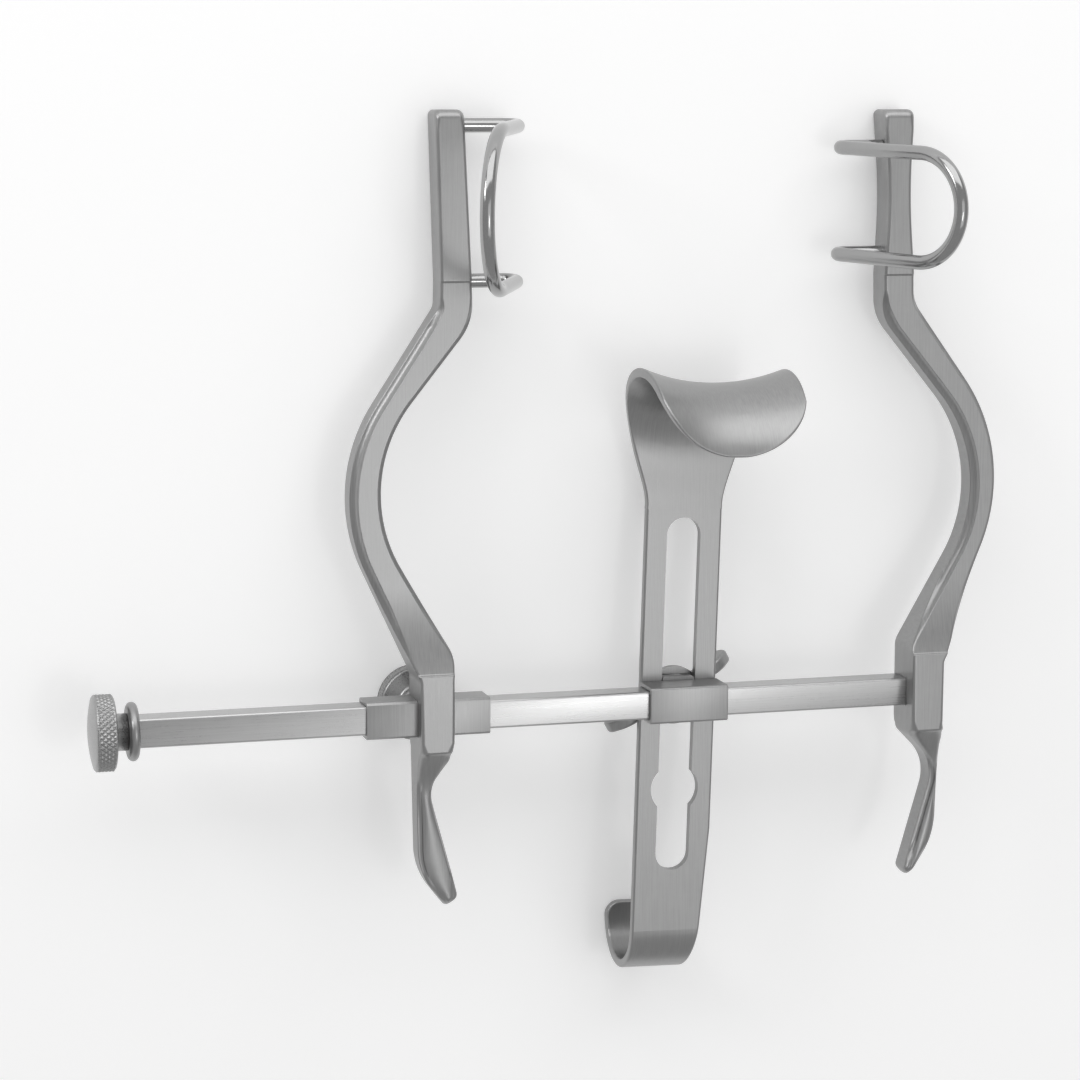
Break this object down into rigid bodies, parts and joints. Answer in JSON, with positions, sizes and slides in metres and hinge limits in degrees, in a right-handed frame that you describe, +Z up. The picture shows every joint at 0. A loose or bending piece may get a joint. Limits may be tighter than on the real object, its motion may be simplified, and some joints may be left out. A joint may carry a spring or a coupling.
{
  "type": "self retaining retractor",
  "caption": "Self retaining abdominal retractor with a square crossbar, a sliding and a fixed arm with wire side blades, and a clamped centre blade.",
  "frame": {"origin": "on the table under the middle of the object, which lies on its back", "axes": "+X along the crossbar from the end knob to the fixed arm, +Y towards the side blades, +Z up, the way the blades reach"},
  "size_m": [0.2986, 0.2851, 0.0631],
  "materials": {
    "satin_steel": "satin brushed stainless steel",
    "polished_wire": "polished stainless steel",
    "knurled_steel": "diamond knurled stainless steel"
  },
  "bodies": {
    "frame": {"crossbar": "satin_steel", "end_stud": "polished_wire", "end_stop_collar": "satin_steel", "fixed_arm": "satin_steel", "right_loop": "polished_wire"},
    "end_knob": {"end_knob": "knurled_steel"},
    "carriage": {"sliding_arm": "satin_steel", "sliding_sleeve": "satin_steel", "left_loop": "polished_wire", "screw_boss": "satin_steel"},
    "shoe": {"pressure_shoe": "polished_wire"},
    "thumbscrew": {"thumbscrew_head": "knurled_steel", "thumbscrew_shank": "polished_wire"},
    "clip": {"blade_clip": "satin_steel", "clamp_screw": "polished_wire", "guide_block": "satin_steel"},
    "blade": {"center_blade": "satin_steel"},
    "washer": {"clamp_washer": "satin_steel"},
    "wing_nut": {"wing_nut": "satin_steel"}
  },
  "joints": [
    {"name": "arm_slide", "type": "slide", "parent": "frame", "child": "carriage", "axis": [1, 0, 0], "range_m": [-0.07, 0.018]},
    {"name": "shoe_slide", "type": "slide", "parent": "carriage", "child": "shoe", "axis": [0, -0.1164, -0.9932], "range_m": [0, 0.002]},
    {"name": "thumbscrew_turn", "type": "hinge", "parent": "shoe", "child": "thumbscrew", "pos_m": [-0.0412, -0.0477, 0.01705], "axis": [0, -0.1164, -0.9932], "range_deg": [0, 720]},
    {"name": "clip_slide", "type": "slide", "parent": "frame", "child": "clip", "axis": [1, 0, 0], "range_m": [-0.028, 0.03]},
    {"name": "blade_slide", "type": "slide", "parent": "clip", "child": "blade", "axis": [0.0314, 0.9927, -0.1163], "range_m": [-0.044, 0.021]},
    {"name": "washer_slide", "type": "slide", "parent": "clip", "child": "washer", "axis": [0, -0.1164, -0.9932], "range_m": [0, 0.0016]},
    {"name": "wing_nut_turn", "type": "hinge", "parent": "washer", "child": "wing_nut", "pos_m": [0.0431, -0.04793, 0.01506], "axis": [0, -0.1164, -0.9932], "range_deg": [0, 720]},
    {"name": "end_knob_turn", "type": "hinge", "parent": "frame", "child": "end_knob", "pos_m": [-0.1412, -0.0463, 0.02897], "axis": [1, 0, 0], "continuous": true}
  ],
  "couplings": [
    {"joint": "thumbscrew_turn", "follows": "shoe_slide", "rad_per_m": 6283.1},
    {"joint": "wing_nut_turn", "follows": "washer_slide", "rad_per_m": 7853.9}
  ]
}
